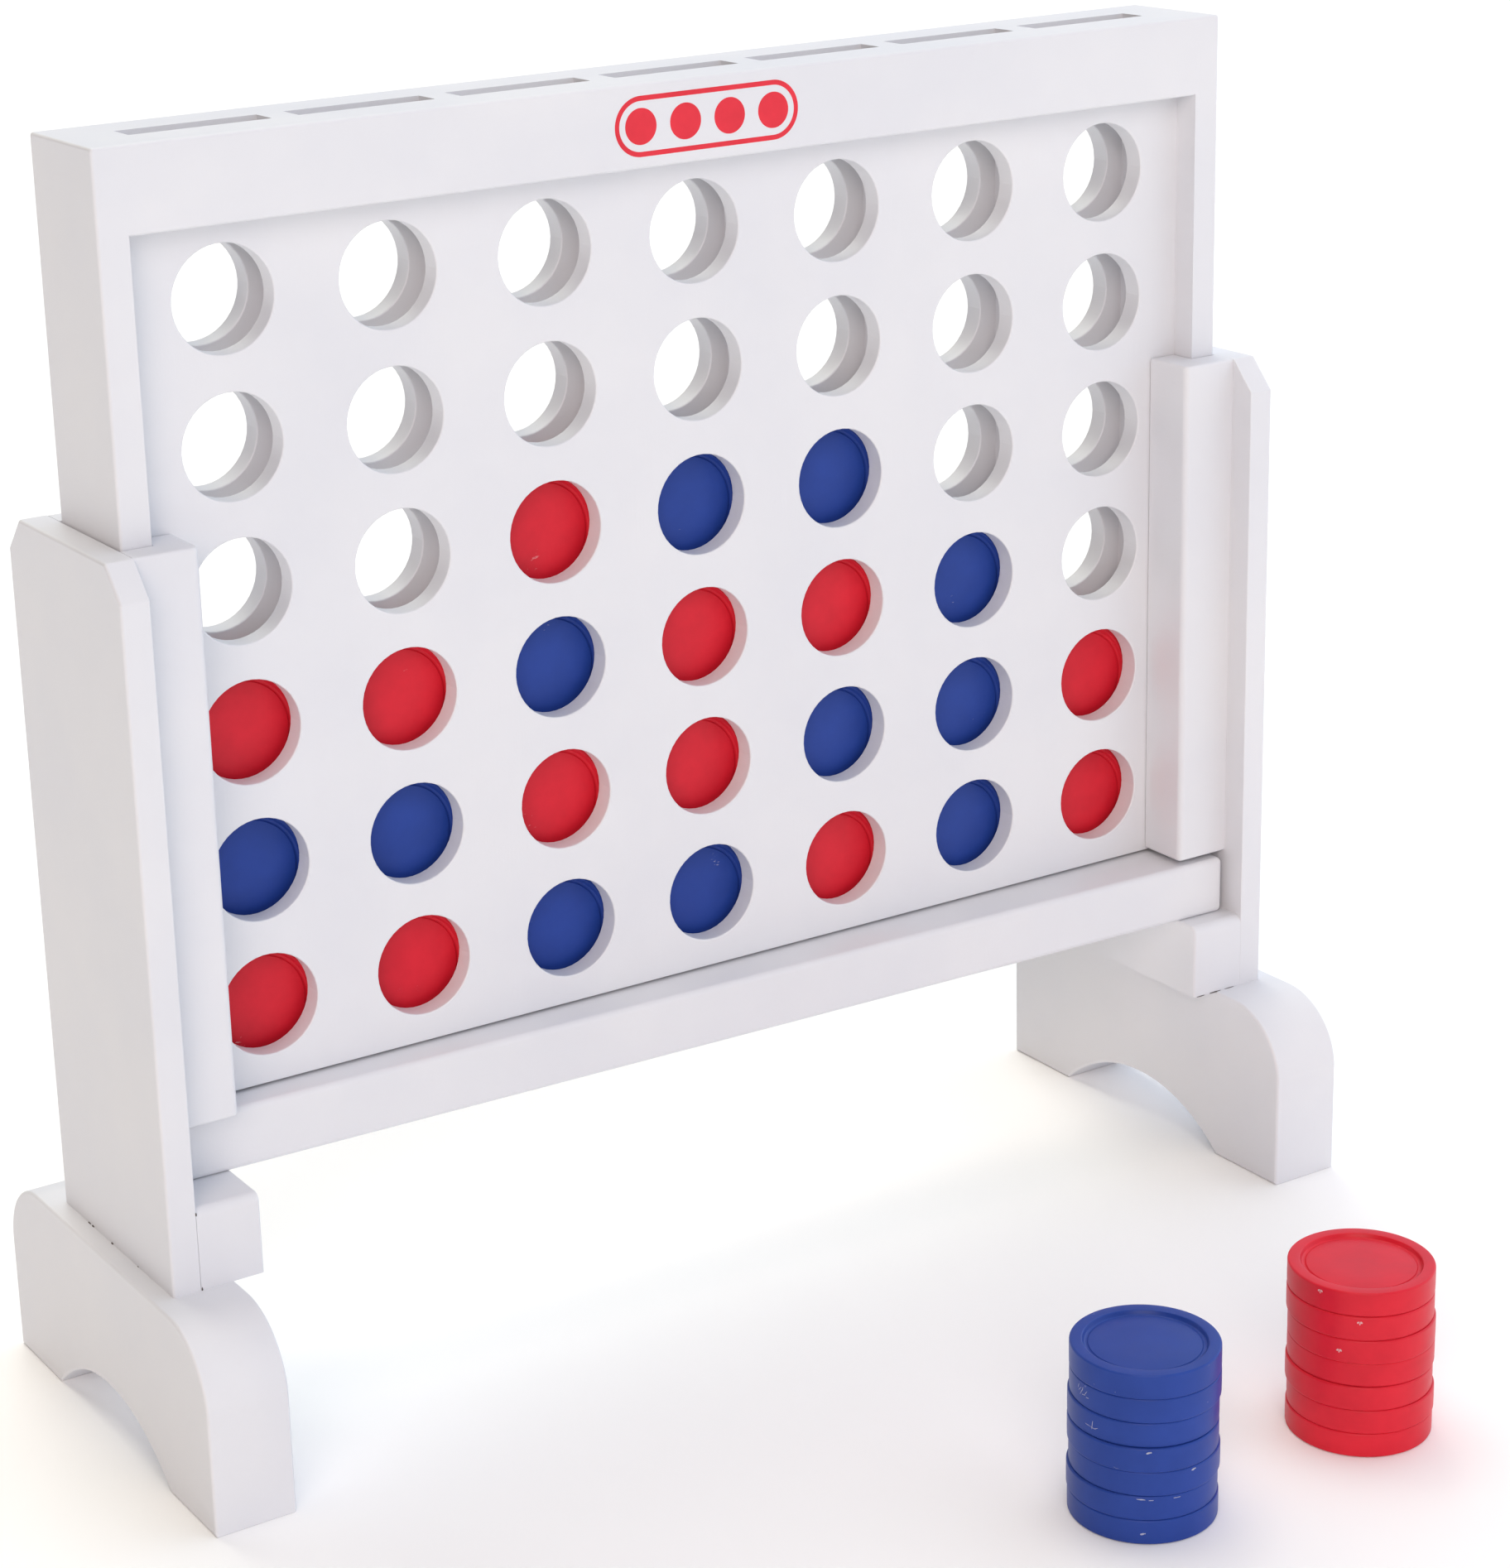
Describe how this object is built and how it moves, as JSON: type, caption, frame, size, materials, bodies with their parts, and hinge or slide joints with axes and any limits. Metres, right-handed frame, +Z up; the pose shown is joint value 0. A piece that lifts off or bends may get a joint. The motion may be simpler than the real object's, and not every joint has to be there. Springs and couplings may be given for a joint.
{
  "type": "giant four in a row",
  "caption": "Giant upright four-in-a-row lawn game: slotted board with round windows, arched legs, a pull-out release bar, and flat discs in the columns and stacked beside it.",
  "frame": {"origin": "on the floor, midway between the two feet and under the middle of the board", "axes": "+X to the right along the board as seen by a player in front, +Y away from that player, +Z up"},
  "size_m": [0.9006, 0.6374, 0.828],
  "materials": {
    "white_paint": "satin white paint over sanded board",
    "red_plastic": "moulded red plastic, satin",
    "blue_plastic": "moulded blue plastic, satin"
  },
  "bodies": {
    "stand": {"left_side_board": "white_paint", "left_front_guide_strip": "white_paint", "left_rear_guide_strip": "white_paint", "left_riser_block": "white_paint", "left_foot": "white_paint", "right_side_board": "white_paint", "right_front_guide_strip": "white_paint", "right_rear_guide_strip": "white_paint", "right_riser_block": "white_paint", "right_foot": "white_paint"},
    "board": {"front_panel": "white_paint", "rear_panel": "white_paint", "front_header": "white_paint", "rear_header": "white_paint", "column_dividers": "white_paint", "left_stile": "white_paint", "right_stile": "white_paint", "left_end_spacer": "white_paint", "right_end_spacer": "white_paint"},
    "release_bar": {"release_bar": "white_paint"},
    "red_disc_column_1_level_1": {"red_disc_column_1_level_1": "red_plastic"},
    "blue_disc_column_1_level_2": {"blue_disc_column_1_level_2": "blue_plastic"},
    "red_disc_column_1_level_3": {"red_disc_column_1_level_3": "red_plastic"},
    "red_disc_column_2_level_1": {"red_disc_column_2_level_1": "red_plastic"},
    "blue_disc_column_2_level_2": {"blue_disc_column_2_level_2": "blue_plastic"},
    "red_disc_column_2_level_3": {"red_disc_column_2_level_3": "red_plastic"},
    "blue_disc_column_3_level_1": {"blue_disc_column_3_level_1": "blue_plastic"},
    "red_disc_column_3_level_2": {"red_disc_column_3_level_2": "red_plastic"},
    "blue_disc_column_3_level_3": {"blue_disc_column_3_level_3": "blue_plastic"},
    "red_disc_column_3_level_4": {"red_disc_column_3_level_4": "red_plastic"},
    "blue_disc_column_4_level_1": {"blue_disc_column_4_level_1": "blue_plastic"},
    "red_disc_column_4_level_2": {"red_disc_column_4_level_2": "red_plastic"},
    "red_disc_column_4_level_3": {"red_disc_column_4_level_3": "red_plastic"},
    "blue_disc_column_4_level_4": {"blue_disc_column_4_level_4": "blue_plastic"},
    "red_disc_column_5_level_1": {"red_disc_column_5_level_1": "red_plastic"},
    "blue_disc_column_5_level_2": {"blue_disc_column_5_level_2": "blue_plastic"},
    "red_disc_column_5_level_3": {"red_disc_column_5_level_3": "red_plastic"},
    "blue_disc_column_5_level_4": {"blue_disc_column_5_level_4": "blue_plastic"},
    "blue_disc_column_6_level_1": {"blue_disc_column_6_level_1": "blue_plastic"},
    "blue_disc_column_6_level_2": {"blue_disc_column_6_level_2": "blue_plastic"},
    "blue_disc_column_6_level_3": {"blue_disc_column_6_level_3": "blue_plastic"},
    "red_disc_column_7_level_1": {"red_disc_column_7_level_1": "red_plastic"},
    "red_disc_column_7_level_2": {"red_disc_column_7_level_2": "red_plastic"},
    "red_disc_stack_1": {"red_disc_stack_1": "red_plastic"},
    "red_disc_stack_2": {"red_disc_stack_2": "red_plastic"},
    "red_disc_stack_3": {"red_disc_stack_3": "red_plastic"},
    "red_disc_stack_4": {"red_disc_stack_4": "red_plastic"},
    "red_disc_stack_5": {"red_disc_stack_5": "red_plastic"},
    "red_disc_stack_6": {"red_disc_stack_6": "red_plastic"},
    "red_disc_stack_7": {"red_disc_stack_7": "red_plastic"},
    "blue_disc_stack_1": {"blue_disc_stack_1": "blue_plastic"},
    "blue_disc_stack_2": {"blue_disc_stack_2": "blue_plastic"},
    "blue_disc_stack_3": {"blue_disc_stack_3": "blue_plastic"},
    "blue_disc_stack_4": {"blue_disc_stack_4": "blue_plastic"},
    "blue_disc_stack_5": {"blue_disc_stack_5": "blue_plastic"},
    "blue_disc_stack_6": {"blue_disc_stack_6": "blue_plastic"},
    "blue_disc_stack_7": {"blue_disc_stack_7": "blue_plastic"}
  },
  "joints": [
    {"name": "board_lift", "type": "slide", "parent": "stand", "child": "board", "axis": [0, 0, 1], "range_m": [0, 0.38]},
    {"name": "release_bar_pull", "type": "slide", "parent": "stand", "child": "release_bar", "axis": [0, -1, 0], "range_m": [0, 0.07]},
    {"name": "red_disc_lift_column_1_level_1", "type": "slide", "parent": "board", "child": "red_disc_column_1_level_1", "axis": [0, 0, 1], "range_m": [0, 0.609]},
    {"name": "blue_disc_lift_column_1_level_2", "type": "slide", "parent": "board", "child": "blue_disc_column_1_level_2", "axis": [0, 0, 1], "range_m": [0, 0.609]},
    {"name": "red_disc_lift_column_1_level_3", "type": "slide", "parent": "board", "child": "red_disc_column_1_level_3", "axis": [0, 0, 1], "range_m": [0, 0.609]},
    {"name": "red_disc_lift_column_2_level_1", "type": "slide", "parent": "board", "child": "red_disc_column_2_level_1", "axis": [0, 0, 1], "range_m": [0, 0.609]},
    {"name": "blue_disc_lift_column_2_level_2", "type": "slide", "parent": "board", "child": "blue_disc_column_2_level_2", "axis": [0, 0, 1], "range_m": [0, 0.609]},
    {"name": "red_disc_lift_column_2_level_3", "type": "slide", "parent": "board", "child": "red_disc_column_2_level_3", "axis": [0, 0, 1], "range_m": [0, 0.609]},
    {"name": "blue_disc_lift_column_3_level_1", "type": "slide", "parent": "board", "child": "blue_disc_column_3_level_1", "axis": [0, 0, 1], "range_m": [0, 0.609]},
    {"name": "red_disc_lift_column_3_level_2", "type": "slide", "parent": "board", "child": "red_disc_column_3_level_2", "axis": [0, 0, 1], "range_m": [0, 0.609]},
    {"name": "blue_disc_lift_column_3_level_3", "type": "slide", "parent": "board", "child": "blue_disc_column_3_level_3", "axis": [0, 0, 1], "range_m": [0, 0.609]},
    {"name": "red_disc_lift_column_3_level_4", "type": "slide", "parent": "board", "child": "red_disc_column_3_level_4", "axis": [0, 0, 1], "range_m": [0, 0.609]},
    {"name": "blue_disc_lift_column_4_level_1", "type": "slide", "parent": "board", "child": "blue_disc_column_4_level_1", "axis": [0, 0, 1], "range_m": [0, 0.609]},
    {"name": "red_disc_lift_column_4_level_2", "type": "slide", "parent": "board", "child": "red_disc_column_4_level_2", "axis": [0, 0, 1], "range_m": [0, 0.609]},
    {"name": "red_disc_lift_column_4_level_3", "type": "slide", "parent": "board", "child": "red_disc_column_4_level_3", "axis": [0, 0, 1], "range_m": [0, 0.609]},
    {"name": "blue_disc_lift_column_4_level_4", "type": "slide", "parent": "board", "child": "blue_disc_column_4_level_4", "axis": [0, 0, 1], "range_m": [0, 0.609]},
    {"name": "red_disc_lift_column_5_level_1", "type": "slide", "parent": "board", "child": "red_disc_column_5_level_1", "axis": [0, 0, 1], "range_m": [0, 0.609]},
    {"name": "blue_disc_lift_column_5_level_2", "type": "slide", "parent": "board", "child": "blue_disc_column_5_level_2", "axis": [0, 0, 1], "range_m": [0, 0.609]},
    {"name": "red_disc_lift_column_5_level_3", "type": "slide", "parent": "board", "child": "red_disc_column_5_level_3", "axis": [0, 0, 1], "range_m": [0, 0.609]},
    {"name": "blue_disc_lift_column_5_level_4", "type": "slide", "parent": "board", "child": "blue_disc_column_5_level_4", "axis": [0, 0, 1], "range_m": [0, 0.609]},
    {"name": "blue_disc_lift_column_6_level_1", "type": "slide", "parent": "board", "child": "blue_disc_column_6_level_1", "axis": [0, 0, 1], "range_m": [0, 0.609]},
    {"name": "blue_disc_lift_column_6_level_2", "type": "slide", "parent": "board", "child": "blue_disc_column_6_level_2", "axis": [0, 0, 1], "range_m": [0, 0.609]},
    {"name": "blue_disc_lift_column_6_level_3", "type": "slide", "parent": "board", "child": "blue_disc_column_6_level_3", "axis": [0, 0, 1], "range_m": [0, 0.609]},
    {"name": "red_disc_lift_column_7_level_1", "type": "slide", "parent": "board", "child": "red_disc_column_7_level_1", "axis": [0, 0, 1], "range_m": [0, 0.609]},
    {"name": "red_disc_lift_column_7_level_2", "type": "slide", "parent": "board", "child": "red_disc_column_7_level_2", "axis": [0, 0, 1], "range_m": [0, 0.609]},
    {"name": "red_disc_lift_stack_1", "type": "slide", "parent": "stand", "child": "red_disc_stack_1", "axis": [0, 0, 1], "range_m": [0, 0.15]},
    {"name": "red_disc_lift_stack_2", "type": "slide", "parent": "stand", "child": "red_disc_stack_2", "axis": [0, 0, 1], "range_m": [0, 0.15]},
    {"name": "red_disc_lift_stack_3", "type": "slide", "parent": "stand", "child": "red_disc_stack_3", "axis": [0, 0, 1], "range_m": [0, 0.15]},
    {"name": "red_disc_lift_stack_4", "type": "slide", "parent": "stand", "child": "red_disc_stack_4", "axis": [0, 0, 1], "range_m": [0, 0.15]},
    {"name": "red_disc_lift_stack_5", "type": "slide", "parent": "stand", "child": "red_disc_stack_5", "axis": [0, 0, 1], "range_m": [0, 0.15]},
    {"name": "red_disc_lift_stack_6", "type": "slide", "parent": "stand", "child": "red_disc_stack_6", "axis": [0, 0, 1], "range_m": [0, 0.15]},
    {"name": "red_disc_lift_stack_7", "type": "slide", "parent": "stand", "child": "red_disc_stack_7", "axis": [0, 0, 1], "range_m": [0, 0.15]},
    {"name": "blue_disc_lift_stack_1", "type": "slide", "parent": "stand", "child": "blue_disc_stack_1", "axis": [0, 0, 1], "range_m": [0, 0.15]},
    {"name": "blue_disc_lift_stack_2", "type": "slide", "parent": "stand", "child": "blue_disc_stack_2", "axis": [0, 0, 1], "range_m": [0, 0.15]},
    {"name": "blue_disc_lift_stack_3", "type": "slide", "parent": "stand", "child": "blue_disc_stack_3", "axis": [0, 0, 1], "range_m": [0, 0.15]},
    {"name": "blue_disc_lift_stack_4", "type": "slide", "parent": "stand", "child": "blue_disc_stack_4", "axis": [0, 0, 1], "range_m": [0, 0.15]},
    {"name": "blue_disc_lift_stack_5", "type": "slide", "parent": "stand", "child": "blue_disc_stack_5", "axis": [0, 0, 1], "range_m": [0, 0.15]},
    {"name": "blue_disc_lift_stack_6", "type": "slide", "parent": "stand", "child": "blue_disc_stack_6", "axis": [0, 0, 1], "range_m": [0, 0.15]},
    {"name": "blue_disc_lift_stack_7", "type": "slide", "parent": "stand", "child": "blue_disc_stack_7", "axis": [0, 0, 1], "range_m": [0, 0.15]}
  ],
  "couplings": [
    {"joint": "blue_disc_lift_column_1_level_2", "follows": "red_disc_lift_column_1_level_1", "ratio": 1},
    {"joint": "red_disc_lift_column_1_level_3", "follows": "red_disc_lift_column_1_level_1", "ratio": 1},
    {"joint": "blue_disc_lift_column_2_level_2", "follows": "red_disc_lift_column_2_level_1", "ratio": 1},
    {"joint": "red_disc_lift_column_2_level_3", "follows": "red_disc_lift_column_2_level_1", "ratio": 1},
    {"joint": "red_disc_lift_column_3_level_2", "follows": "blue_disc_lift_column_3_level_1", "ratio": 1},
    {"joint": "blue_disc_lift_column_3_level_3", "follows": "blue_disc_lift_column_3_level_1", "ratio": 1},
    {"joint": "red_disc_lift_column_3_level_4", "follows": "blue_disc_lift_column_3_level_1", "ratio": 1},
    {"joint": "red_disc_lift_column_4_level_2", "follows": "blue_disc_lift_column_4_level_1", "ratio": 1},
    {"joint": "red_disc_lift_column_4_level_3", "follows": "blue_disc_lift_column_4_level_1", "ratio": 1},
    {"joint": "blue_disc_lift_column_4_level_4", "follows": "blue_disc_lift_column_4_level_1", "ratio": 1},
    {"joint": "blue_disc_lift_column_5_level_2", "follows": "red_disc_lift_column_5_level_1", "ratio": 1},
    {"joint": "red_disc_lift_column_5_level_3", "follows": "red_disc_lift_column_5_level_1", "ratio": 1},
    {"joint": "blue_disc_lift_column_5_level_4", "follows": "red_disc_lift_column_5_level_1", "ratio": 1},
    {"joint": "blue_disc_lift_column_6_level_2", "follows": "blue_disc_lift_column_6_level_1", "ratio": 1},
    {"joint": "blue_disc_lift_column_6_level_3", "follows": "blue_disc_lift_column_6_level_1", "ratio": 1},
    {"joint": "red_disc_lift_column_7_level_2", "follows": "red_disc_lift_column_7_level_1", "ratio": 1},
    {"joint": "red_disc_lift_stack_2", "follows": "red_disc_lift_stack_1", "ratio": 1},
    {"joint": "red_disc_lift_stack_3", "follows": "red_disc_lift_stack_1", "ratio": 1},
    {"joint": "red_disc_lift_stack_4", "follows": "red_disc_lift_stack_1", "ratio": 1},
    {"joint": "red_disc_lift_stack_5", "follows": "red_disc_lift_stack_1", "ratio": 1},
    {"joint": "red_disc_lift_stack_6", "follows": "red_disc_lift_stack_1", "ratio": 1},
    {"joint": "red_disc_lift_stack_7", "follows": "red_disc_lift_stack_1", "ratio": 1},
    {"joint": "blue_disc_lift_stack_2", "follows": "blue_disc_lift_stack_1", "ratio": 1},
    {"joint": "blue_disc_lift_stack_3", "follows": "blue_disc_lift_stack_1", "ratio": 1},
    {"joint": "blue_disc_lift_stack_4", "follows": "blue_disc_lift_stack_1", "ratio": 1},
    {"joint": "blue_disc_lift_stack_5", "follows": "blue_disc_lift_stack_1", "ratio": 1},
    {"joint": "blue_disc_lift_stack_6", "follows": "blue_disc_lift_stack_1", "ratio": 1},
    {"joint": "blue_disc_lift_stack_7", "follows": "blue_disc_lift_stack_1", "ratio": 1}
  ]
}
